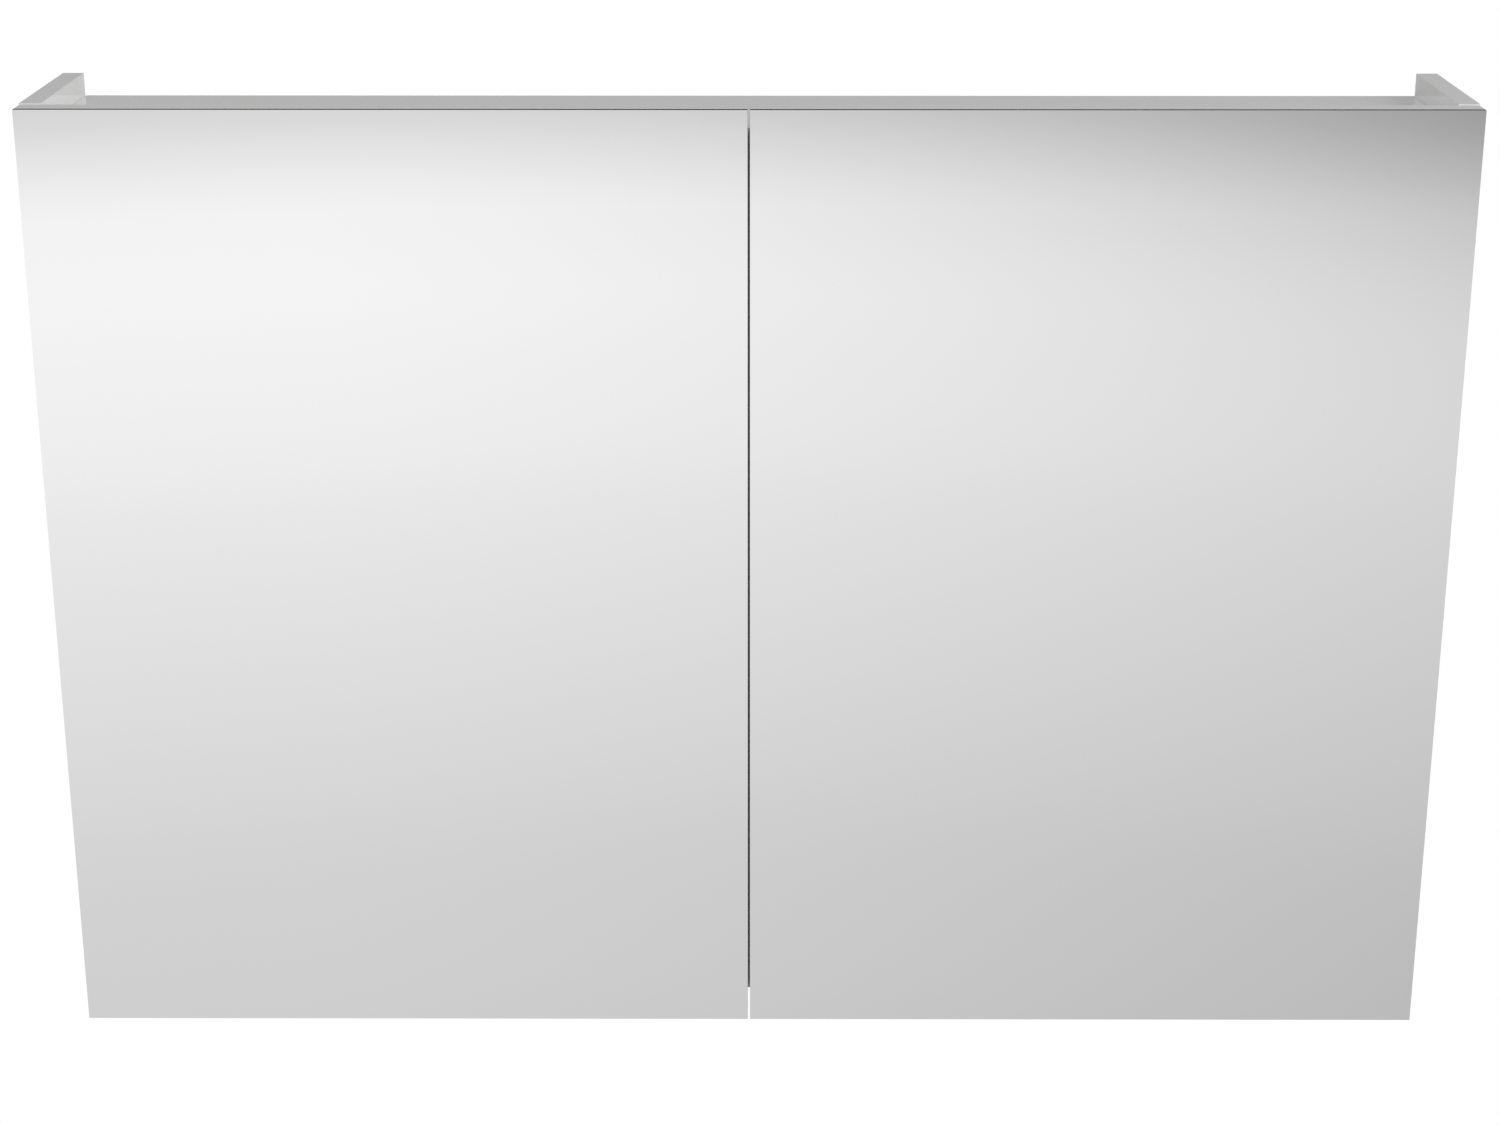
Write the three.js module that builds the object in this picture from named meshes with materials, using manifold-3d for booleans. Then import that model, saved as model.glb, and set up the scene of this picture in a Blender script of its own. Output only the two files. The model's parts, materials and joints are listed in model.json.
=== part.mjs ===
// A two-door mirror cabinet for a bathroom wall, as separate parts.
// Millimetres, +Z up, doors facing -Y. The wall is the plane y = 0.
// Inside the cabinet group z = 0 is the lower end of the side panels.
import * as THREE from "three";
import { mergeVertices } from "three/addons/utils/BufferGeometryUtils.js";
import Module from "manifold-3d";

const wasm = await Module();
wasm.setup();

// ---- driving dimensions -------------------------------------------------
const WIDTH = 1000; // outside of one side panel to the outside of the other
const HEIGHT = 690; // side panels, end to end
const CARCASS_DEPTH = 131.3; // wall to the front edges of the boards
const BOARD = 15; // carcass board thickness
const RECESS = 16.4; // top and bottom panels sit this far inside the side panels' ends
const DOOR_GAP = 1.5; // carcass to door
const DOOR_BOARD = 16;
const GLUE_LINE = 0.2; // adhesive film between door board and mirror
const MIRROR = 4; // mirror glass thickness
const CENTRE_GAP = 1.6; // between the two doors
const SIDE_REVEAL = 1; // door edge to the outside of the cabinet
const TOP_REVEAL = 0.5; // door top to the side panels' top
const BOTTOM_REVEAL = 1;

const BACK_INSET = 14; // wall to the back panel
const BACK_THICKNESS = 3;
const GROOVE_DEPTH = 6;
const GROOVE_PLAY = 0.2;

const SHELF = { thickness: 6, depth: 100, from_back_panel: 2, end_play: 1.2, heights: [236, 444] };
const PIN_ROW = { from_front: 37, pitch: 32, rows_apart: 64, hole_r: 2.6, hole_depth: 7 };

const HINGE_HEIGHTS = { lower: 100, upper: 588 }; // hinge centres above the side panels' lower ends
const RAIL_CENTRE_Z = 611; // the wall rail's screw line, where the cabinet's origin lies

// ---- derived planes -----------------------------------------------------
const HALF = WIDTH / 2;
const INNER_X = HALF - BOARD; // inner face of a side panel
const DOOR_BACK = CARCASS_DEPTH + DOOR_GAP;
const BOARD_FRONT = DOOR_BACK + DOOR_BOARD;
const MIRROR_BACK = BOARD_FRONT + GLUE_LINE;
const FRONT = MIRROR_BACK + MIRROR;
const FLOOR_Z = RECESS + BOARD; // upper face of the bottom panel
const CEILING_Z = HEIGHT - RECESS - BOARD; // lower face of the top panel
const BACK_FRONT = BACK_INSET + BACK_THICKNESS;

// ---- materials ----------------------------------------------------------
const finish = (color, roughness, metalness) =>
  new THREE.MeshStandardMaterial({ color, roughness, metalness });
const MATERIALS = {
  lacquer: () => finish(0xe9e9e8, 0.18, 0),
  backboard: () => finish(0xe4e4e2, 0.55, 0),
  mirror: () => finish(0xdfe3e3, 0.03, 1),
  glass: () => finish(0xd5e6e2, 0.05, 0),
  nickel: () => finish(0xb9b9b6, 0.3, 1),
  zinc: () => finish(0xa9abac, 0.45, 1),
  plastic: () => finish(0xe6e6e3, 0.5, 0),
  rubber: () => finish(0xd9dadb, 0.6, 0),
};

// ---- solids and booleans ------------------------------------------------
function toSolid(geometry) {
  const bare = geometry.clone();
  bare.deleteAttribute("normal");
  bare.deleteAttribute("uv");
  const merged = mergeVertices(bare, 1e-4);
  return new wasm.Manifold(new wasm.Mesh({
    numProp: 3,
    vertProperties: new Float32Array(merged.attributes.position.array),
    triVerts: new Uint32Array(merged.index.array),
  }));
}

function toGeometry(solid) {
  const mesh = solid.getMesh();
  const geometry = new THREE.BufferGeometry();
  geometry.setAttribute("position", new THREE.BufferAttribute(mesh.vertProperties, 3));
  geometry.setIndex(new THREE.BufferAttribute(mesh.triVerts, 1));
  geometry.computeVertexNormals();
  return geometry;
}

function cut(geometry, tools) {
  return toGeometry(tools.reduce((solid, tool) => solid.subtract(toSolid(tool)), toSolid(geometry)));
}

function join(geometries) {
  const [first, ...others] = geometries.map(toSolid);
  return toGeometry(others.reduce((solid, other) => solid.add(other), first));
}

// A box from ranges along x, depth (measured forwards from the wall) and z.
function block([x0, x1], [d0, d1], [z0, z1]) {
  const geometry = new THREE.BoxGeometry(x1 - x0, d1 - d0, z1 - z0);
  return geometry.translate((x0 + x1) / 2, -(d0 + d1) / 2, (z0 + z1) / 2);
}

function outline(points) {
  return new THREE.Shape(points.map(([a, b]) => new THREE.Vector2(a, b)));
}

// Extrudes a shape drawn in plan (x, depth) from z0 up to z1.
function planPrism(shape, z0, z1, curveSegments = 6) {
  const geometry = new THREE.ExtrudeGeometry(shape, { depth: z1 - z0, bevelEnabled: false, curveSegments });
  // Drawn as (x, depth) and stood up: depth becomes -y, so the prism is turned about x.
  return geometry.rotateX(Math.PI).translate(0, 0, z1);
}

// Extrudes a profile drawn in section (depth, z) from x0 to x1.
function sectionPrism(points, x0, x1) {
  const shape = outline(points.map(([depth, z]) => [depth, z]));
  const geometry = new THREE.ExtrudeGeometry(shape, { depth: x1 - x0, bevelEnabled: false });
  // Local x (depth) becomes -y, local y becomes z, local z becomes -x.
  const turn = new THREE.Matrix4().makeBasis(
    new THREE.Vector3(0, -1, 0), new THREE.Vector3(0, 0, 1), new THREE.Vector3(-1, 0, 0));
  return geometry.applyMatrix4(turn).translate(x1, 0, 0);
}

// A cylinder whose axis runs along z, between z0 and z1.
function post(x, depth, radius, z0, z1, segments = 16) {
  const geometry = new THREE.CylinderGeometry(radius, radius, z1 - z0, segments);
  return geometry.rotateX(Math.PI / 2).translate(x, -depth, (z0 + z1) / 2);
}

// A cylinder whose axis runs along y, between two depths.
function boreFromBack(x, z, radius, d0, d1, segments = 32) {
  const geometry = new THREE.CylinderGeometry(radius, radius, d1 - d0, segments);
  return geometry.translate(x, -(d0 + d1) / 2, z);
}

// A cylinder whose axis runs along x.
function dowel(x0, x1, depth, z, radius, segments) {
  const geometry = new THREE.CylinderGeometry(radius, radius, x1 - x0, segments);
  return geometry.rotateZ(Math.PI / 2).translate((x0 + x1) / 2, -depth, z);
}

// The mirror image across the cabinet's middle plane, with its faces turned back outwards.
function mirrored(geometry) {
  const flipped = mergeVertices(geometry.clone().deleteAttribute("normal"), 1e-5);
  flipped.scale(-1, 1, 1);
  const index = flipped.index.array;
  for (let i = 0; i < index.length; i += 3) {
    [index[i + 1], index[i + 2]] = [index[i + 2], index[i + 1]];
  }
  flipped.computeVertexNormals();
  return flipped;
}

// ---- the scene ----------------------------------------------------------
const cabinet = new THREE.Group();
const body = new THREE.Group();
body.position.z = -RAIL_CENTRE_Z;
cabinet.add(body);

function add(name, geometry, material) {
  const mesh = new THREE.Mesh(geometry, MATERIALS[material]());
  mesh.name = name;
  body.add(mesh);
}

// Adds the left-hand piece and its mirror image on the right.
function addPair(stem, geometry, material, ending = "") {
  add(`${stem}_left${ending}`, geometry, material);
  add(`${stem}_right${ending}`, mirrored(geometry), material);
}

// ---- carcass ------------------------------------------------------------
const pinDepths = [
  CARCASS_DEPTH - PIN_ROW.from_front - PIN_ROW.rows_apart,
  CARCASS_DEPTH - PIN_ROW.from_front,
];

// Shelf pin holes into a face at x, going in the direction of sign: three heights for each shelf.
function pinHoles(x, sign) {
  const reach = x + sign * PIN_ROW.hole_depth;
  const [x0, x1] = sign > 0 ? [x - 1, reach] : [reach, x + 1];
  const holes = [];
  for (const shelfZ of SHELF.heights) {
    for (const step of [-1, 0, 1]) {
      for (const depth of pinDepths) {
        const z = shelfZ - PIN_ROW.hole_r + step * PIN_ROW.pitch;
        holes.push(dowel(x0, x1, depth, z, PIN_ROW.hole_r, 10));
      }
    }
  }
  return holes;
}

const grooveDepths = [BACK_INSET - GROOVE_PLAY, BACK_FRONT + GROOVE_PLAY];
const grooveReach = GROOVE_DEPTH + GROOVE_PLAY;

function sidePanel() {
  const board = block([-HALF, -INNER_X], [0, CARCASS_DEPTH], [0, HEIGHT]);
  const groove = block([-INNER_X - grooveReach, -INNER_X + 1], grooveDepths,
    [FLOOR_Z - grooveReach, CEILING_Z + grooveReach]);
  return cut(board, [groove, ...pinHoles(-INNER_X, -1)]);
}

function crossPanel(z0, grooveZ) {
  const board = block([-INNER_X, INNER_X], [0, CARCASS_DEPTH], [z0, z0 + BOARD]);
  return cut(board, [block([-INNER_X - 1, INNER_X + 1], grooveDepths, grooveZ)]);
}

function centrePartition() {
  const depths = [BACK_FRONT + GROOVE_PLAY, CARCASS_DEPTH];
  const board = block([-BOARD / 2, BOARD / 2], depths, [FLOOR_Z, CEILING_Z]);
  return cut(board, [...pinHoles(-BOARD / 2, 1), ...pinHoles(BOARD / 2, -1)]);
}

addPair("side_panel", sidePanel(), "lacquer");
add("top_panel", crossPanel(CEILING_Z, [CEILING_Z - 1, CEILING_Z + grooveReach]), "lacquer");
add("bottom_panel", crossPanel(RECESS, [FLOOR_Z - grooveReach, FLOOR_Z + 1]), "lacquer");
add("centre_partition", centrePartition(), "lacquer");

// ---- hanging: wall rail, hangers and back panel --------------------------
// Heights here are above the side panels' lower ends. The rail's plate is screwed to the wall and
// its flange stands off the wall, so that a hook's tongue can drop in behind it.
const RAIL = { half_length: 462, steel: 2, plate: [600, 622], step_out: 5.5, flange_top: 636 };
const RAIL_SLOT = { at: [-420, -140, 140, 420], half_length: 8, half_width: 2.7 };
const HANGER = { x: [-484.7, -426], depth: 19, z: [612, 652], off_back_panel: 0.3, front_wall: 4 };
const HANGER_WELL = { at: [-472, -440], z: 622, radius: 4.5, depth: 5 };
const HOOK = { x: [-454, -440], tongue: [2.4, 4.8], foot: 626, bridge: [638, 640.5], short_of_front: 5 };
const HOOK_PLAY = 0.6; // round the hook in the hanger's slot
const HOOK_WINDOW = { x: [-462, -432], z: [631, 647] };

function wallRail() {
  const [foot, step] = RAIL.plate;
  const near = RAIL.step_out;
  const far = RAIL.step_out + RAIL.steel;
  const profile = [
    [0, foot], [RAIL.steel, foot], [RAIL.steel, step - RAIL.steel], [far, step - RAIL.steel],
    [far, RAIL.flange_top], [near, RAIL.flange_top], [near, step], [0, step],
  ];
  const rail = sectionPrism(profile, -RAIL.half_length, RAIL.half_length);
  const { half_length: reach, half_width: half } = RAIL_SLOT;
  const slots = RAIL_SLOT.at.map((x) =>
    block([x - reach, x + reach], [-1, RAIL.steel + 1], [RAIL_CENTRE_Z - half, RAIL_CENTRE_Z + half]));
  return cut(rail, slots);
}

function hangerBody() {
  const rear = BACK_FRONT + HANGER.off_back_panel;
  const front = rear + HANGER.depth;
  const shell = block(HANGER.x, [rear, front], HANGER.z);
  const loosened = ([low, high]) => [low - HOOK_PLAY, high + HOOK_PLAY];
  const slot = block(loosened(HOOK.x), [rear - 1, front - HANGER.front_wall], loosened(HOOK.bridge));
  const well = HANGER_WELL;
  const wells = well.at.map((x) => boreFromBack(x, well.z, well.radius, front - well.depth, front + 1, 16));
  return cut(shell, [slot, ...wells]);
}

function hangerHook() {
  const [near, far] = HOOK.tongue;
  const [low, high] = HOOK.bridge;
  const inner = BACK_FRONT + HANGER.depth - HOOK.short_of_front;
  const profile = [
    [near, HOOK.foot], [far, HOOK.foot], [far, low], [inner, low], [inner, high], [near, high],
  ];
  return sectionPrism(profile, ...HOOK.x);
}

function backPanel() {
  const reachX = INNER_X + GROOVE_DEPTH;
  const height = [FLOOR_Z - GROOVE_DEPTH, CEILING_Z + GROOVE_DEPTH];
  const board = block([-reachX, reachX], [BACK_INSET, BACK_FRONT], height);
  const hookWindow = block(HOOK_WINDOW.x, [BACK_INSET - 1, BACK_FRONT + 1], HOOK_WINDOW.z);
  return cut(board, [hookWindow, mirrored(hookWindow)]);
}

add("wall_rail", wallRail(), "zinc");
addPair("hanger_body", hangerBody(), "plastic");
addPair("hanger_hook", hangerHook(), "zinc");
add("back_panel", backPanel(), "backboard");

// ---- glass shelves and their pins ----------------------------------------
const shelfDepths = [BACK_FRONT + SHELF.from_back_panel, BACK_FRONT + SHELF.from_back_panel + SHELF.depth];
const PIN = { shank_r: 2.4, shank: 6.5, collar_r: 4, collar_from: 0.05, collar: 1.5, peg_r: 2.5, peg: 8 };
const PIN_TO_GLASS = 0.1;

// A turned steel pin: shank in the hole, collar against the panel, peg under the glass.
function shelfPin(faceX, intoCabinet, depth, shelfZ) {
  const profile = [
    [0, -PIN.shank], [PIN.shank_r, -PIN.shank], [PIN.shank_r, PIN.collar_from],
    [PIN.collar_r, PIN.collar_from],
    [PIN.collar_r, PIN.collar], [PIN.peg_r, PIN.collar], [PIN.peg_r, PIN.peg], [0, PIN.peg],
  ].map(([r, along]) => new THREE.Vector2(r, along));
  const geometry = new THREE.LatheGeometry(profile, 12);
  geometry.rotateZ(-intoCabinet * Math.PI / 2);
  return geometry.translate(faceX, -depth, shelfZ - PIN_ROW.hole_r);
}

const LEVEL_NAMES = ["lower", "upper"];
SHELF.heights.forEach((shelfZ, level) => {
  const ending = `_${LEVEL_NAMES[level]}`;
  const glassZ = shelfZ - PIN_ROW.hole_r + PIN.collar_r + PIN_TO_GLASS;
  const glass = block([-INNER_X + SHELF.end_play, -BOARD / 2 - SHELF.end_play], shelfDepths,
    [glassZ, glassZ + SHELF.thickness]);
  addPair("glass_shelf", glass, "glass", ending);
  pinDepths.forEach((depth, row) => {
    const rowName = row === 0 ? "back" : "front";
    const outer = shelfPin(-INNER_X, 1, depth, shelfZ);
    const inner = shelfPin(-BOARD / 2, -1, depth, shelfZ);
    addPair("shelf_pin", outer, "nickel", `${ending}_outer_${rowName}`);
    addPair("shelf_pin", inner, "nickel", `${ending}_inner_${rowName}`);
  });
});

// ---- doors --------------------------------------------------------------
const CUP = { from_edge: 21.5, bore_r: 17.7, bore_depth: 13.2, body_r: 17.5, body_depth: 12.8,
  cavity_r: 15.4, cavity_depth: 11.9 };
const CUP_FLANGE = { half_height: 31, half_width: 13, end_r: 8, shoulder: 16, thickness: 1, fit: 0.3 };
const doorX = [-HALF + SIDE_REVEAL, -CENTRE_GAP / 2];
const doorZ = [BOTTOM_REVEAL, HEIGHT - TOP_REVEAL];
const cupX = doorX[0] + CUP.from_edge;

// The cup's face plate in elevation: a lozenge with rounded ends, grown all round by grow.
function flangePlate(z, grow, d0, d1) {
  const endR = CUP_FLANGE.end_r + grow;
  const halfW = CUP_FLANGE.half_width + grow;
  const endZ = CUP_FLANGE.half_height - CUP_FLANGE.end_r;
  const shoulder = CUP_FLANGE.shoulder;
  const shape = new THREE.Shape();
  shape.moveTo(halfW, -shoulder);
  shape.lineTo(halfW, shoulder);
  shape.lineTo(endR, endZ);
  shape.absarc(0, endZ, endR, 0, Math.PI, false);
  shape.lineTo(-halfW, shoulder);
  shape.lineTo(-halfW, -shoulder);
  shape.lineTo(-endR, -endZ);
  shape.absarc(0, -endZ, endR, Math.PI, 2 * Math.PI, false);
  const options = { depth: d1 - d0, bevelEnabled: false, curveSegments: 8 };
  const geometry = new THREE.ExtrudeGeometry(shape, options);
  return geometry.rotateX(Math.PI / 2).translate(cupX, -d0, z);
}

function doorBoard() {
  const board = block(doorX, [DOOR_BACK, BOARD_FRONT], doorZ);
  const pockets = [];
  for (const z of Object.values(HINGE_HEIGHTS)) {
    const flangeSeat = DOOR_BACK + CUP_FLANGE.thickness + CUP_FLANGE.fit;
    pockets.push(boreFromBack(cupX, z, CUP.bore_r, DOOR_BACK - 1, DOOR_BACK + CUP.bore_depth));
    pockets.push(flangePlate(z, CUP_FLANGE.fit, DOOR_BACK - 1, flangeSeat));
  }
  return cut(board, pockets);
}

addPair("door_board", doorBoard(), "lacquer");
addPair("door_mirror", block(doorX, [MIRROR_BACK, FRONT], doorZ), "mirror");

const BUMPER = { radius: 4, thickness: 1.2, from_centre: 34 };
for (const [level, z] of [["lower", RECESS + BOARD / 2], ["upper", CEILING_Z + BOARD / 2]]) {
  const depths = [DOOR_BACK - BUMPER.thickness, DOOR_BACK];
  const bumper = boreFromBack(-BUMPER.from_centre, z, BUMPER.radius, ...depths, 16);
  addPair("door_bumper", bumper, "rubber", `_${level}`);
}

// ---- concealed hinges ---------------------------------------------------
// Drawn for the left door as u = distance from the cabinet's outside and depth from the wall.
// The inner link turns on pin A of the arm and carries pin B of the cup. The outer link turns on
// pin C of the arm, and its free end follows the cup.
const PIN_A = [30.25, 125.7];
const PIN_B = [11.1, 135.8];
const PIN_C = [36, 129.8];
const INNER_LINK_PATH = [PIN_A, [24.6, 134.7], [17, 139.1], PIN_B];
const OUTER_LINK_PATH = [PIN_C, [32.2, 137.6], [25.4, 142.2], [13.3, 140.6]];
const LINK = { half_thickness: 1.1, eye_r: 2.4, eye_bore_r: 1.5, free_eye_r: 1.9, pin_r: 1.2 };
// Half widths along the hinge pins, from the middle outwards: outer link, cup's pin stubs, the
// inner link's prongs and the arm's cheeks.
const ACROSS = { outer_link: 2.9, stub_from: 3.1, prong: [3.3, 5.4], cheek: [7, 8.4] };

const fromEdge = (points) => points.map(([u, depth]) => [u - HALF, depth]);

// A strip of even thickness along a path in plan, with square ends.
function stripOutline(path, half) {
  const points = path.map(([a, b]) => new THREE.Vector2(a, b));
  const left = [];
  const right = [];
  points.forEach((point, i) => {
    const before = points[Math.max(i - 1, 0)];
    const after = points[Math.min(i + 1, points.length - 1)];
    const along = after.clone().sub(before).normalize();
    const across = new THREE.Vector2(-along.y, along.x).multiplyScalar(half);
    left.push(point.clone().add(across));
    right.unshift(point.clone().sub(across));
  });
  return new THREE.Shape([...left, ...right]);
}

// One link plate between z0 and z1: the curved strip with an eye at each end.
function linkPlate(path, endEyeR, z0, z1) {
  const world = fromEdge(path);
  const strip = planPrism(stripOutline(world, LINK.half_thickness), z0, z1);
  const eyes = [[world[0], LINK.eye_r], [world.at(-1), endEyeR]]
    .map(([[x, depth], r]) => post(x, depth, r, z0, z1, 14));
  return [strip, ...eyes];
}

function innerLink(z) {
  const [p0, p1] = ACROSS.prong;
  const [[ax, ad], [bx, bd]] = fromEdge([PIN_A, PIN_B]);
  const prongs = [[z + p0, z + p1], [z - p1, z - p0]]
    .flatMap(([z0, z1]) => linkPlate(INNER_LINK_PATH, LINK.eye_r, z0, z1));
  const barrel = post(ax, ad, LINK.eye_r, z - p1, z + p1, 14);
  const bores = [[ax, ad], [bx, bd]]
    .map(([x, depth]) => post(x, depth, LINK.eye_bore_r, z - p1 - 1, z + p1 + 1, 12));
  return cut(join([...prongs, barrel]), bores);
}

function outerLink(z) {
  const w = ACROSS.outer_link;
  const [cx, cd] = fromEdge([PIN_C])[0];
  const plate = join(linkPlate(OUTER_LINK_PATH, LINK.free_eye_r, z - w, z + w));
  return cut(plate, [post(cx, cd, LINK.eye_bore_r, z - w - 1, z + w + 1, 12)]);
}

const ARM_OUTLINE = [
  [19, 68], [19, 112], [26.8, 124.4], [27.4, 127.4], [34.2, 132], [36.8, 132.1],
  [38.6, 130.4], [38.6, 128.6], [33.4, 121.4], [29.5, 112], [29.5, 68],
];
const ARM_WEB = { u: [28, 29.5], depth: [68, 112] };

// The channel-shaped arm: two cheeks, the web that joins them, and pins A and C across its nose.
function hingeArm(z) {
  const [c0, c1] = ACROSS.cheek;
  const shape = outline(fromEdge(ARM_OUTLINE));
  const cheeks = [planPrism(shape, z + c0, z + c1), planPrism(shape, z - c1, z - c0)];
  const web = block(ARM_WEB.u.map((u) => u - HALF), ARM_WEB.depth, [z - c1, z + c1]);
  const pins = fromEdge([PIN_A, PIN_C]).map(([x, d]) => post(x, d, LINK.pin_r, z - c1, z + c1, 10));
  return join([...cheeks, web, ...pins]);
}

const PLATE = { foot: [15, 16.6], foot_depth: [72, 112], foot_half: 10, wing_depth: [88, 100.6],
  wing_half: 26, boss: [16.2, 25], boss_depth: [76, 108], boss_half: 6.4 };

// The cross-shaped mounting plate on the side panel, with the boss that the arm clips over.
function hingePlate(z) {
  const x = (range) => range.map((u) => u - HALF);
  const around = (half) => [z - half, z + half];
  return join([
    block(x(PLATE.foot), PLATE.foot_depth, around(PLATE.foot_half)),
    block(x(PLATE.foot), PLATE.wing_depth, around(PLATE.wing_half)),
    block(x(PLATE.boss), PLATE.boss_depth, around(PLATE.boss_half)),
  ]);
}

// The steel cup let into the door's back, open towards the cabinet, with pin B in two stubs.
function hingeCup(z) {
  const [bx, bd] = fromEdge([PIN_B])[0];
  const body = boreFromBack(cupX, z, CUP.body_r, DOOR_BACK, DOOR_BACK + CUP.body_depth);
  const plate = flangePlate(z, 0, DOOR_BACK, DOOR_BACK + CUP_FLANGE.thickness);
  const cavity = boreFromBack(cupX, z, CUP.cavity_r, DOOR_BACK - 1, DOOR_BACK + CUP.cavity_depth);
  const stubReach = CUP.cavity_r * 0.66;
  const stubs = [[z + ACROSS.stub_from, z + stubReach], [z - stubReach, z - ACROSS.stub_from]]
    .map(([z0, z1]) => post(bx, bd, LINK.pin_r, z0, z1, 10));
  return join([cut(join([body, plate]), [cavity]), ...stubs]);
}

for (const [level, z] of Object.entries(HINGE_HEIGHTS)) {
  const ending = `_${level}`;
  addPair("hinge_cup", hingeCup(z), "nickel", ending);
  addPair("hinge_plate", hingePlate(z), "nickel", ending);
  addPair("hinge_arm", hingeArm(z), "nickel", ending);
  addPair("inner_link", innerLink(z), "nickel", ending);
  addPair("outer_link", outerLink(z), "nickel", ending);
}

export default cabinet;
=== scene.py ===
"""The looks of the two-door mirror cabinet: finishes, small hardware, studio and camera. Metres."""

import json
import math

import bmesh
import bpy
from mathutils import Matrix, Vector


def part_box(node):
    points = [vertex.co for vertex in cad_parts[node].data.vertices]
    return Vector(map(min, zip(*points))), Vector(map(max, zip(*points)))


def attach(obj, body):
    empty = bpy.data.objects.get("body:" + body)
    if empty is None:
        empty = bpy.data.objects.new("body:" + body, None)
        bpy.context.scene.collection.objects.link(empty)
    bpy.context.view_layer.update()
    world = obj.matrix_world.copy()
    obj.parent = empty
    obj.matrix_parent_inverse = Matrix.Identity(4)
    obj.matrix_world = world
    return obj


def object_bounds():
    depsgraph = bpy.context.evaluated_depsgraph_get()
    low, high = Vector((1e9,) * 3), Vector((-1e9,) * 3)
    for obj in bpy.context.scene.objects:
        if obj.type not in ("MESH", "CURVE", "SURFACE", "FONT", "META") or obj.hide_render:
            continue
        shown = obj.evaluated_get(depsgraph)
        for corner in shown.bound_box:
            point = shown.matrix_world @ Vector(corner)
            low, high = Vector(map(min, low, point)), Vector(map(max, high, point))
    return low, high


MM = 0.001
SIDES = {"left": -1, "right": 1}
LEVELS = ("lower", "upper")
TO_ROOM = (0, -1, 0)
TO_WALL = (0, 1, 0)
UP = (0, 0, 1)
DOWN = (0, 0, -1)
WELD_DISTANCE = 0.001 * MM

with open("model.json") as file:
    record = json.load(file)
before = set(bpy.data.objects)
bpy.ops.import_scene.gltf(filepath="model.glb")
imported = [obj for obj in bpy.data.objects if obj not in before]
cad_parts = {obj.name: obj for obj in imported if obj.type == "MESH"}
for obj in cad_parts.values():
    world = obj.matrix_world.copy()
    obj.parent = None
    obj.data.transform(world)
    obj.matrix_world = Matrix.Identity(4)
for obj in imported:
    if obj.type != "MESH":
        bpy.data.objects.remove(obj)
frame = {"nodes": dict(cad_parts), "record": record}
cad_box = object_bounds()


# ---- node trees ---------------------------------------------------------
class Shader:
    """Builds a node tree. A value is a number, a colour or another node's socket."""

    # The Mix node has several sockets of each name, so they go by number: first, second, result.
    MIX_SOCKETS = {"FLOAT": (2, 3, 0), "RGBA": (6, 7, 2)}
    NOISE_RANGE = (0.3, 0.7)  # where most of a noise's values lie

    def __init__(self, tree):
        self.tree = tree

    def node(self, kind, **settings):
        made = self.tree.nodes.new(kind)
        for key, value in settings.items():
            setattr(made, key, value)
        return made

    def feed(self, target, value):
        """Gives a value to a socket. A number makes a grey in a colour socket."""
        if isinstance(value, bpy.types.NodeSocket):
            self.tree.links.new(value, target)
            return
        if target.type == "RGBA":
            value = (*value, 1) if isinstance(value, tuple) else (value, value, value, 1)
        target.default_value = value

    def coordinates(self, name):
        return self.node("ShaderNodeTexCoord").outputs[name]

    def spread(self, value, start, end, low=0.0, high=1.0, kind="LINEAR"):
        """Low where value is at start, high where it is at end."""
        made = self.node("ShaderNodeMapRange", interpolation_type=kind)
        self.feed(made.inputs["Value"], value)
        for name, number in (("From Min", start), ("From Max", end), ("To Min", low), ("To Max", high)):
            made.inputs[name].default_value = number
        return made.outputs["Result"]

    def maths(self, operation, first, second=0.0):
        made = self.node("ShaderNodeMath", operation=operation)
        self.feed(made.inputs[0], first)
        self.feed(made.inputs[1], second)
        return made.outputs[0]

    def mix(self, factor, first, second, kind="RGBA"):
        made = self.node("ShaderNodeMix", data_type=kind)
        one, other, result = self.MIX_SOCKETS[kind]
        self.feed(made.inputs[0], factor)
        self.feed(made.inputs[one], first)
        self.feed(made.inputs[other], second)
        return made.outputs[result]

    def noise(self, size, detail=3.0, stretch=(1, 1, 1)):
        """Noise in the object's own coordinates; size is one blotch's width."""
        mapping = self.node("ShaderNodeMapping")
        mapping.inputs["Scale"].default_value = stretch
        self.feed(mapping.inputs["Vector"], self.coordinates("Object"))
        made = self.node("ShaderNodeTexNoise")
        made.inputs["Scale"].default_value = 1 / size
        made.inputs["Detail"].default_value = detail
        self.feed(made.inputs["Vector"], mapping.outputs["Vector"])
        return made.outputs["Fac"]

    def vary(self, noise, low, high):
        """Spreads a noise over low to high."""
        return self.spread(noise, *self.NOISE_RANGE, low, high)

    def facing(self, axis, threshold=0.8):
        """1 where the object's own surface faces along axis (a unit vector), 0 elsewhere."""
        dot = self.node("ShaderNodeVectorMath", operation="DOT_PRODUCT")
        dot.inputs[1].default_value = axis
        self.feed(dot.inputs[0], self.coordinates("Normal"))
        return self.maths("GREATER_THAN", dot.outputs["Value"], threshold)


class Finish(Shader):
    """A Principled material. Each keyword names one of its sockets, with _ for a space."""

    def __init__(self, name, **sockets):
        self.material = bpy.data.materials.new(name)
        self.material.use_nodes = True
        super().__init__(self.material.node_tree)
        self.surface = self.tree.nodes["Principled BSDF"]
        self.set(**sockets)

    def set(self, **sockets):
        for key, value in sockets.items():
            self.feed(self.surface.inputs[key.replace("_", " ")], value)

    def bump(self, height, depth, strength):
        made = self.node("ShaderNodeBump")
        made.inputs["Distance"].default_value = depth
        made.inputs["Strength"].default_value = strength
        self.feed(made.inputs["Height"], height)
        self.feed(self.surface.inputs["Normal"], made.outputs["Normal"])


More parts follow.
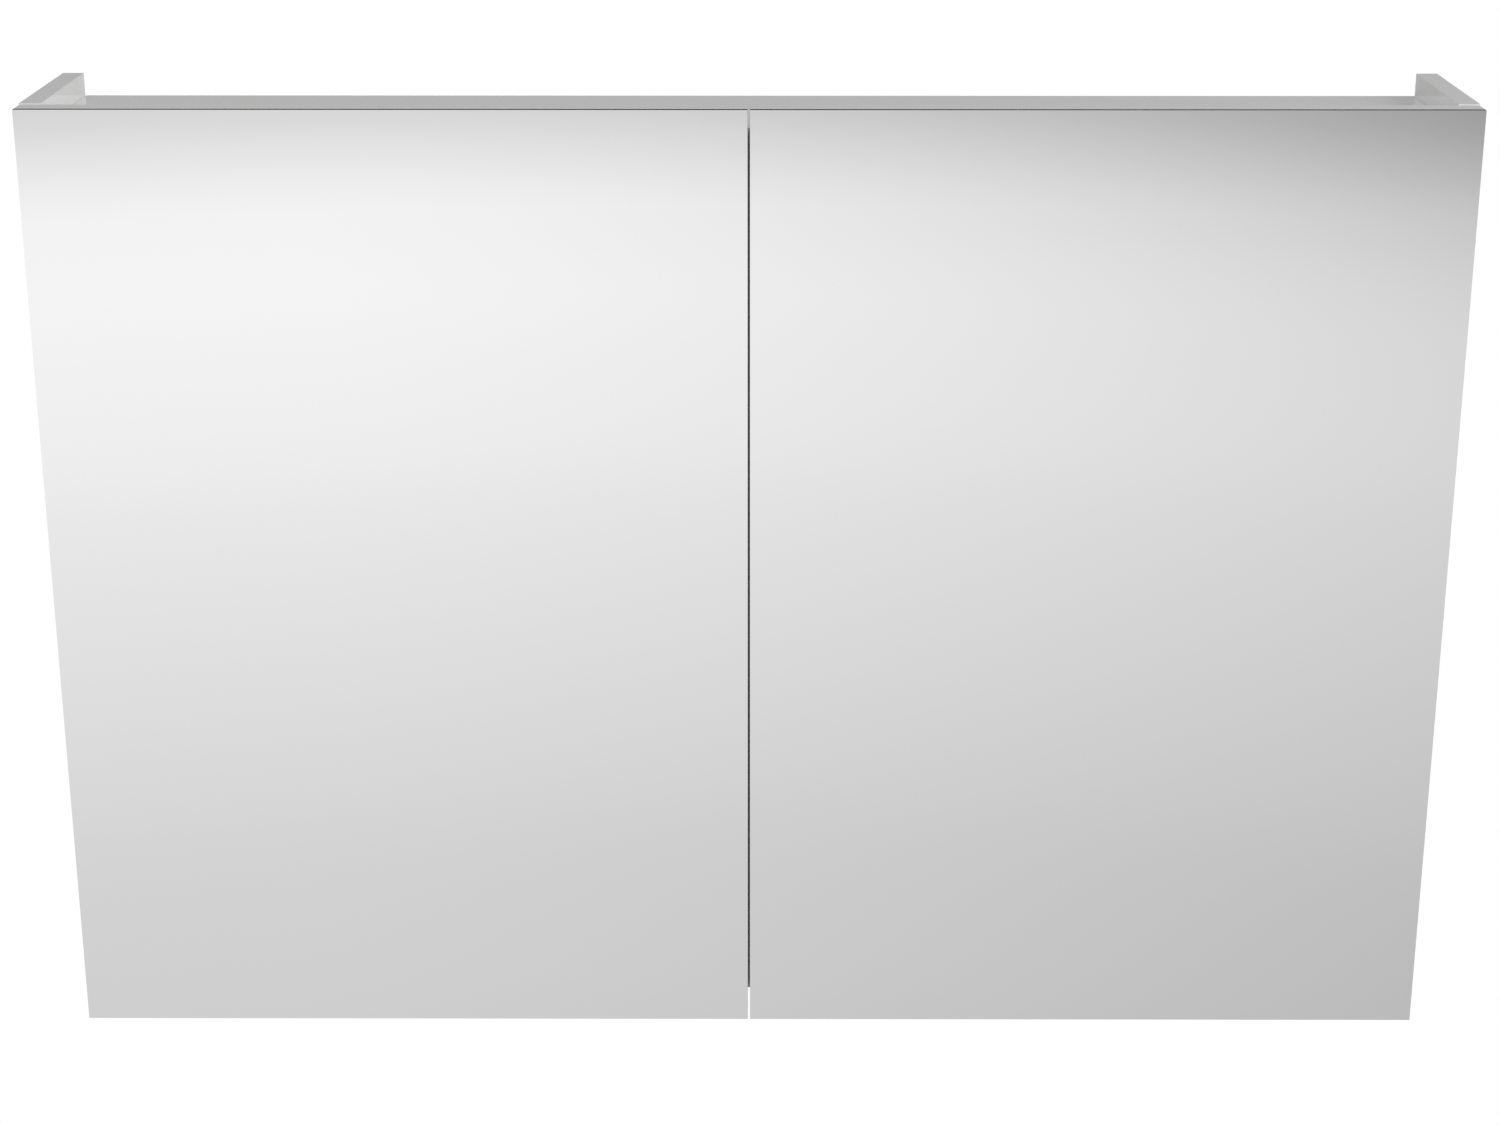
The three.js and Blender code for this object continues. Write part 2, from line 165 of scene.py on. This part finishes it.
# ---- finishes -----------------------------------------------------------
def lacquer():
    """White gloss lacquer: faint orange peel, and a polish that changes a little from place to place."""
    make = Finish("white_gloss_lacquer", Metallic=0.0, IOR=1.5)
    tint = make.mix(make.noise(210 * MM, 2), (0.795, 0.795, 0.791), (0.815, 0.815, 0.810))
    make.set(Base_Color=tint, Roughness=make.vary(make.noise(35 * MM, 4), 0.03, 0.07))
    make.bump(make.noise(3 * MM, 1), 0.01 * MM, 0.12)
    return make.material


def backboard():
    """Hardboard: white foil inside, grey-beige backing paper with short fibres towards the wall."""
    make = Finish("coated_hardboard", Metallic=0.0)
    fibres = make.noise(3.5 * MM, 6, stretch=(1, 1, 0.35))
    paper = make.mix(fibres, (0.44, 0.42, 0.385), (0.58, 0.56, 0.52))
    foil = make.mix(fibres, (0.765, 0.765, 0.76), (0.785, 0.785, 0.78))
    sides = make.mix(make.facing(TO_WALL), foil, paper)
    make.set(Base_Color=sides, Roughness=make.vary(fibres, 0.42, 0.62))
    make.bump(fibres, 0.06 * MM, 0.5)
    return make.material


def mirror_glass():
    """Silvered float glass: a clean mirror in front, and round it a near-black edge that hardly shines,
    which is painted shade for the dark line along the mirror's edge.
    """
    make = Finish("silvered_mirror", IOR=1.02)
    front = make.facing(TO_ROOM, 0.7)
    # Painted shade: the edge's near-black colour, together with the low IOR above that keeps it from
    # shining, stands in for the dark line along the mirror's edge. The noise only varies its tone at random.
    edge = make.mix(make.noise(6 * MM, 2), (0.004, 0.006, 0.0055), (0.010, 0.014, 0.013))
    haze = make.vary(make.noise(90 * MM, 5), 0.006, 0.016)
    silver = make.mix(front, edge, (0.921, 0.923, 0.922))
    make.set(Base_Color=silver, Metallic=front, Roughness=make.mix(front, 0.06, haze, "FLOAT"))
    return make.material


def shelf_glass():
    """Clear float glass, green where the eye looks into its ground edges."""
    make = Finish("shelf_float_glass", Roughness=0.02, IOR=1.52, Metallic=0.0, Transmission_Weight=1.0)
    flat = make.maths("ADD", make.facing(UP), make.facing(DOWN))
    edge = make.mix(make.noise(12 * MM), (0.30, 0.52, 0.45), (0.40, 0.62, 0.54))
    make.set(Base_Color=make.mix(flat, edge, (0.93, 0.975, 0.96)))
    return make.material


def nickel():
    """Pressed steel, nickel plated: faint rolling lines under a bright, slightly uneven plating."""
    make = Finish("nickel_plated_steel", Metallic=1.0)
    plating = make.mix(make.noise(9 * MM, 2), (0.695, 0.685, 0.66), (0.735, 0.725, 0.70))
    lines = make.noise(0.9 * MM, 2, stretch=(1, 0.12, 1))
    make.set(Base_Color=plating, Roughness=make.vary(lines, 0.17, 0.23))
    make.bump(lines, 0.008 * MM, 0.12)
    return make.material


def zinc():
    """Galvanised strip: the grey crystals of hot-dipped zinc."""
    make = Finish("galvanised_steel", Metallic=1.0)
    crystals = make.node("ShaderNodeTexVoronoi")
    crystals.inputs["Scale"].default_value = 240  # crystals in a metre
    make.feed(crystals.inputs["Vector"], make.coordinates("Object"))
    shade = make.node("ShaderNodeSeparateColor")
    make.feed(shade.inputs["Color"], crystals.outputs["Color"])
    tint = make.mix(shade.outputs[0], (0.53, 0.545, 0.56), (0.63, 0.64, 0.65))
    make.set(Base_Color=tint, Roughness=make.vary(shade.outputs[1], 0.34, 0.50))
    return make.material


def moulded_plastic():
    """White moulded plastic with a fine spark-eroded grain."""
    make = Finish("white_moulded_plastic", Metallic=0.0, IOR=1.48)
    grain = make.noise(0.7 * MM)
    tint = make.mix(make.noise(20 * MM, 2), (0.70, 0.70, 0.68), (0.755, 0.755, 0.735))
    make.set(Base_Color=tint, Roughness=make.vary(grain, 0.38, 0.55))
    make.bump(grain, 0.03 * MM, 0.5)
    return make.material


def soft_plastic():
    """Translucent soft plastic buffer."""
    make = Finish("clear_soft_plastic", Metallic=0.0, IOR=1.45, Transmission_Weight=0.45)
    cloud = make.noise(2 * MM)
    tint = make.mix(cloud, (0.66, 0.67, 0.68), (0.78, 0.79, 0.80))
    make.set(Base_Color=tint, Roughness=make.vary(cloud, 0.30, 0.45))
    return make.material


FINISHES = {
    "white_lacquer": lacquer(),
    "backboard": backboard(),
    "mirror_glass": mirror_glass(),
    "shelf_glass": shelf_glass(),
    "nickel": nickel(),
    "zinc_plate": zinc(),
    "hanger_plastic": moulded_plastic(),
    "bumper": soft_plastic(),
}
# Radius of the broken edges.
EDGE_RADIUS = {
    "white_lacquer": 0.4 * MM,
    "backboard": 0.2 * MM,
    "mirror_glass": 0.12 * MM,
    "shelf_glass": 0.6 * MM,
    "nickel": 0.25 * MM,
    "zinc_plate": 0.4 * MM,
    "hanger_plastic": 0.8 * MM,
    "bumper": 0.4 * MM,
}
# Boards and glass keep dead flat faces; turned and pressed parts are shaded smooth.
SMOOTH_SLOTS = {"nickel", "zinc_plate", "hanger_plastic", "bumper"}
SHARP_ANGLE = math.radians(50)  # only edges sharper than this are rounded
FACE_WEIGHT = 100  # above 50, a part's largest faces lead its smooth shading


def soften_edges(obj, radius, smooth):
    """Welds the faceted shape, rounds its sharp edges, and welds the slivers left by the rounding."""
    weld = obj.modifiers.new("weld", "WELD")
    weld.merge_threshold = WELD_DISTANCE
    bevel = obj.modifiers.new("broken_edges", "BEVEL")
    bevel.width = radius
    bevel.segments = 2
    bevel.limit_method = "ANGLE"
    bevel.angle_limit = SHARP_ANGLE
    slivers = obj.modifiers.new("weld_slivers", "WELD")
    slivers.merge_threshold = WELD_DISTANCE
    if smooth:
        normals = obj.modifiers.new("flat_faces", "WEIGHTED_NORMAL")
        normals.weight = FACE_WEIGHT


def finish_cad_nodes():
    for part in frame["record"]["subparts"]:
        node = frame["nodes"][part["node"]]
        slot = part["material_slot"]
        smooth = slot in SMOOTH_SLOTS
        node.data.materials.clear()
        node.data.materials.append(FINISHES[slot])
        for face in node.data.polygons:
            face.use_smooth = smooth
        soften_edges(node, EDGE_RADIUS[slot], smooth)


finish_cad_nodes()


# ---- screws -------------------------------------------------------------
# A screw head's proportions, as parts of its radius.
DOME_RISE = 0.16
DOME_ANGLES = (0, 0.35, 0.7, 1.0, 1.25)
COUNTERSINK = [(1, 0), (0.94, -0.10), (0.5, -0.42), (0, -0.42)]
RECESS_WIDTH = 0.26
RECESS_REACH = 0.62
RECESS_DEPTH = 0.36
RECESS_TAPER = 0.45  # the recess's floor against its mouth
ABOVE_HEAD = 0.2 * MM  # the cutter starts this far outside the head


def add_object(name, data):
    obj = bpy.data.objects.new(name, data)
    bpy.context.scene.collection.objects.link(obj)
    return obj


def mesh_object(name, mesh):
    """An object made from a bmesh, which is used up."""
    data = bpy.data.meshes.new(name)
    mesh.to_mesh(data)
    mesh.free()
    return add_object(name, data)


def turned(profile, segments=32):
    """A mesh turned about +Z from (radius, height) points that start and end on the axis."""
    mesh = bmesh.new()
    angles = [2 * math.pi * i / segments for i in range(segments)]
    rings = []
    for radius, height in profile:
        around = angles if radius else [0]
        ring = [(radius * math.cos(a), radius * math.sin(a), height) for a in around]
        rings.append([mesh.verts.new(point) for point in ring])
    for low, high in zip(rings, rings[1:]):
        for i in range(segments):
            j = (i + 1) % segments
            corners = [low[i % len(low)], low[j % len(low)], high[j % len(high)], high[i % len(high)]]
            mesh.faces.new(list(dict.fromkeys(corners)))
    bmesh.ops.recalc_face_normals(mesh, faces=mesh.faces)
    return mesh


def cross_recess(width, reach, depth, top):
    """The cutter for a cross-shaped driver recess: two crossed wedges that narrow downwards."""
    mesh = bmesh.new()
    for turn in (0, math.pi / 2):
        made = bmesh.ops.create_cube(mesh, size=1)
        for vert in made["verts"]:
            mouth = vert.co.z > 0
            taper = 1 if mouth else RECESS_TAPER
            height = top + ABOVE_HEAD if mouth else top - depth
            vert.co = Vector((vert.co.x * 2 * reach * taper, vert.co.y * width * taper, height))
        bmesh.ops.rotate(mesh, verts=made["verts"], cent=(0, 0, 0), matrix=Matrix.Rotation(turn, 3, "Z"))
    return mesh


def clean_mesh(mesh):
    """Takes doubled points and faces of no area out of a mesh."""
    clean = bmesh.new()
    clean.from_mesh(mesh)
    bmesh.ops.remove_doubles(clean, verts=clean.verts, dist=WELD_DISTANCE)
    bmesh.ops.dissolve_degenerate(clean, edges=clean.edges, dist=WELD_DISTANCE)
    clean.to_mesh(mesh)
    clean.free()


def screw_mesh(radius):
    """A countersunk head with a cross recess cut into it. Its rim is at height 0."""
    rise = radius * DOME_RISE
    dome = [(radius * math.sin(angle), rise * math.cos(angle)) for angle in DOME_ANGLES]
    skirt = [(radius * across, radius * up) for across, up in COUNTERSINK]
    head = mesh_object("screw_blank", turned([*dome, *skirt]))
    recess = [radius * part for part in (RECESS_WIDTH, RECESS_REACH, RECESS_DEPTH)]
    cutter = mesh_object("screw_cutter", cross_recess(*recess, rise))
    cut = head.modifiers.new("recess", "BOOLEAN")
    cut.operation = "DIFFERENCE"
    cut.solver = "EXACT"
    cut.use_self = True
    cut.object = cutter
    evaluated = head.evaluated_get(bpy.context.evaluated_depsgraph_get())
    mesh = bpy.data.meshes.new_from_object(evaluated)
    for obj in (head, cutter):
        bpy.data.objects.remove(obj)
    clean_mesh(mesh)
    for face in mesh.polygons:
        face.use_smooth = False
    mesh.materials.clear()
    mesh.materials.append(FINISHES["nickel"])
    return mesh


def place_screw(mesh, name, seat, outwards, body, turn):
    """Sets a screw with its head's rim at seat, facing outwards."""
    screw = add_object(name, mesh)
    facing_out = Vector(outwards).to_track_quat("Z", "Y").to_matrix().to_4x4()
    screw.matrix_world = Matrix.Translation(seat) @ facing_out @ Matrix.Rotation(turn, 4, "Z")
    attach(screw, body)


WOOD_SCREW = screw_mesh(3.6 * MM)
SET_SCREW = screw_mesh(2.7 * MM)
RIM_HEIGHT = 0.35 * MM  # how far a head's rim stands off its seat
PLATE_THICKNESS = 1.6 * MM
PLATE_SCREW_DEPTH = 37 * MM  # behind the side panel's front edge
PLATE_SCREW_OFFSET = 16 * MM  # above and below the hinge's middle
ARM_WEB = 14.5 * MM  # the arm's outer face, from the side panel
ARM_SCREWS = (23.6 * MM, 5.6 * MM)  # ahead of the arm's rear end
CUP_SCREW_OFFSET = 24 * MM  # above and below the hinge's middle
CUP_RIM_HEIGHT = 0.1 * MM  # above the cup's flange
HANGER_SCREWS = (12.7 * MM, 44.7 * MM)  # from the hanger body's outer end
HANGER_SCREW_RISE = 10 * MM  # above the hanger body's lower face
HANGER_SEAT = 4.2 * MM  # behind the hanger body's front face


def add_hinge_screws(side, level):
    """Two screws in the plate, two in the arm and two in the cup's flange, each with a turn of its own."""
    sign = SIDES[side]
    tag = f"{side}_{level}"
    inwards = Vector((-sign, 0, 0))
    low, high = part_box(f"hinge_plate_{tag}")
    panel = high.x if sign > 0 else low.x
    middle = (low.z + high.z) / 2
    plate_x = panel - sign * (PLATE_THICKNESS + RIM_HEIGHT)
    plate_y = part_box(f"side_panel_{side}")[0].y + PLATE_SCREW_DEPTH
    arm_x = panel - sign * (ARM_WEB + RIM_HEIGHT)
    arm_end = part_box(f"hinge_arm_{tag}")[1].y
    cup_low, cup_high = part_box(f"hinge_cup_{tag}")
    cup_x = (cup_low.x + cup_high.x) / 2
    cup_y = cup_high.y + CUP_RIM_HEIGHT
    for index, step in enumerate((-1, 1)):
        number = index + 1
        seat = Vector((plate_x, plate_y, middle + step * PLATE_SCREW_OFFSET))
        place_screw(WOOD_SCREW, f"plate_screw_{tag}_{number}", seat, inwards, "carcass", 0.1 + 0.6 * index)
        seat = Vector((arm_x, arm_end - ARM_SCREWS[index], middle))
        place_screw(SET_SCREW, f"arm_screw_{tag}_{number}", seat, inwards, "carcass", 0.7 + index)
        seat = Vector((cup_x, cup_y, middle + step * CUP_SCREW_OFFSET))
        place_screw(WOOD_SCREW, f"cup_screw_{tag}_{number}", seat, TO_WALL, f"{side}_door", 0.7 - index)


def add_hanger_screws(side):
    """Two screws down the wells in the hanger's body."""
    sign = SIDES[side]
    low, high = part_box(f"hanger_body_{side}")
    outer = high.x if sign > 0 else low.x
    for index, inset in enumerate(HANGER_SCREWS):
        seat = Vector((outer - sign * inset, low.y + HANGER_SEAT, low.z + HANGER_SCREW_RISE))
        place_screw(WOOD_SCREW, f"hanger_screw_{side}_{index + 1}", seat, TO_ROOM, "carcass", 0.5 + index)


for side in SIDES:
    add_hanger_screws(side)
    for level in LEVELS:
        add_hinge_screws(side, level)


# ---- studio -------------------------------------------------------------
MIRROR_REFLECTANCE = 0.92
# How bright the studio is in the mirrors, at each height from -1, straight down, to 1, straight up.
BRIGHT_SIDE = [(-1, 0.56), (-0.47, 0.61), (-0.40, 0.67), (-0.30, 0.81), (-0.245, 0.885), (-0.215, 0.895),
               (-0.195, 0.86), (-0.172, 0.70), (-0.14, 0.56), (-0.02, 0.60), (0.3, 0.66), (1, 0.80)]
DARK_SIDE = [(-1, 0.42), (-0.47, 0.47), (-0.40, 0.535), (-0.30, 0.64), (-0.245, 0.665), (-0.215, 0.61),
             (-0.195, 0.53), (-0.172, 0.37), (-0.14, 0.30), (-0.02, 0.40), (0.3, 0.50), (1, 0.62)]
# Directions are told by their parts along x, y and z.
BRIGHT_UNTIL = -0.16  # x where the studio starts to darken, towards the right
DARK_FROM = 0.245  # x where it is darkest
DARKENING = 1.5  # power of the fall between them
DARK_SCREEN = 0.23  # a dark screen behind the cabinet, which only gloss shows
SCREEN_SIDES = (0.78, 0.90)  # y where the screen begins, and where it is full
SCREEN_ENDS = (0.40, 0.28)  # height, up or down, where the screen begins, and where it is full
SOFT_LEVEL = 0.76  # the soft light that falls on the surfaces: from all round at their own height
SOFT_ABOVE = 0.62  # and from straight above and below
WHITE = 1.0


class Studio(Shader):
    """Builds the world's node tree."""

    def __init__(self):
        world = bpy.data.worlds.new("studio")
        bpy.context.scene.world = world
        world.use_nodes = True
        world.node_tree.nodes.clear()
        super().__init__(world.node_tree)

    def curve(self, height, stops):
        """A smooth curve through stops of height, -1 to 1, and brightness. It reads a height of 0 to 1."""
        made = self.node("ShaderNodeValToRGB")
        made.color_ramp.interpolation = "CARDINAL"
        elements = made.color_ramp.elements
        while len(elements) < len(stops):
            elements.new(0.5)
        for element, (level, brightness) in zip(elements, stops):
            element.position = (level + 1) / 2
            element.color = (*[brightness / MIRROR_REFLECTANCE] * 3, 1)
        self.feed(made.inputs["Fac"], height)
        return made.outputs["Color"]

    def background(self, brightness):
        made = self.node("ShaderNodeBackground")
        self.feed(made.inputs["Color"], brightness)
        return made.outputs[0]

    def choose(self, factor, first, second):
        """The light first where factor is 0, and second where it is 1."""
        made = self.node("ShaderNodeMixShader")
        for socket, value in zip(made.inputs, (factor, first, second)):
            self.feed(socket, value)
        return made.outputs[0]


def studio_world():
    """White to the camera, even soft light to the surfaces, and in reflections a studio that is brighter low
    down and to the left, with a dark screen behind the cabinet."""
    make = Studio()
    split = make.node("ShaderNodeSeparateXYZ")
    make.feed(split.inputs[0], make.coordinates("Generated"))
    across, along, up = split.outputs
    level = make.maths("ABSOLUTE", up)
    height = make.spread(up, -1, 1)
    aside = make.maths("POWER", make.spread(across, BRIGHT_UNTIL, DARK_FROM), DARKENING)
    studio = make.mix(aside, make.curve(height, BRIGHT_SIDE), make.curve(height, DARK_SIDE))
    behind = make.spread(along, *SCREEN_SIDES, kind="SMOOTHSTEP")
    screen = make.maths("MULTIPLY", behind, make.spread(level, *SCREEN_ENDS, kind="SMOOTHSTEP"))
    reflected = make.choose(screen, make.background(studio), make.background(DARK_SCREEN))
    soft = make.choose(level, make.background(SOFT_LEVEL), make.background(SOFT_ABOVE))
    path = make.node("ShaderNodeLightPath")
    lit = make.choose(path.outputs["Is Glossy Ray"], soft, reflected)
    seen = make.choose(path.outputs["Is Camera Ray"], lit, make.background(WHITE))
    make.feed(make.node("ShaderNodeOutputWorld").inputs["Surface"], seen)
    bpy.context.scene.view_settings.view_transform = "Standard"


FLOOR_DROP = 1.15  # cabinet's lower end to the floor
FLOOR_SIZE = 40


def pale_floor():
    """A plain pale floor, lit evenly. Only the camera sees it, so it stays out of the doors' reflections."""
    mesh = bmesh.new()
    bmesh.ops.create_grid(mesh, x_segments=1, y_segments=1, size=FLOOR_SIZE / 2)
    floor = mesh_object("floor", mesh)
    floor.location.z = cad_box[0].z - FLOOR_DROP
    material = bpy.data.materials.new("pale_floor")
    material.use_nodes = True
    material.node_tree.nodes.clear()
    make = Shader(material.node_tree)
    glow = make.node("ShaderNodeEmission").outputs[0]
    make.feed(make.node("ShaderNodeOutputMaterial").inputs["Surface"], glow)
    floor.data.materials.append(material)
    for ray in ("diffuse", "glossy", "transmission", "shadow"):
        setattr(floor, f"visible_{ray}", False)


KEY_PLACE = Vector((3.9, -3.3, 1.95))  # from the cabinet's middle
KEY_SIZE = 3.0
KEY_POWER = 112


def key_light():
    """A large soft lamp in front, on the right, that the gloss doesn't show."""
    light = bpy.data.lights.new("key", "AREA")
    light.shape = "DISK"
    light.size = KEY_SIZE
    light.energy = KEY_POWER
    lamp = add_object("key", light)
    lamp.location = (cad_box[0] + cad_box[1]) / 2 + KEY_PLACE
    lamp.rotation_euler = (-KEY_PLACE).to_track_quat("-Z", "Y").to_euler()
    lamp.visible_glossy = False


studio_world()
pale_floor()
key_light()


# ---- camera -------------------------------------------------------------
CAMERA_AHEAD = 1.9011  # in front of the mirrors' faces
CAMERA_ABOVE = 0.3282  # above the doors' tops
CAMERA_ASIDE = 0.0070  # to the right of the cabinet's middle
CAMERA_DOWN = math.radians(18.926)
CAMERA_TURN = math.radians(0.186)  # towards the left
CAMERA_LENS = 67.56
CAMERA_SENSOR = 36


def add_camera():
    low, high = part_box("door_mirror_left")
    camera = add_object("camera", bpy.data.cameras.new("camera"))
    camera.data.lens = CAMERA_LENS
    camera.data.sensor_width = CAMERA_SENSOR
    camera.location = (CAMERA_ASIDE, low.y - CAMERA_AHEAD, high.z + CAMERA_ABOVE)
    camera.rotation_euler = (math.pi / 2 - CAMERA_DOWN, 0, CAMERA_TURN)
    bpy.context.scene.camera = camera


add_camera()
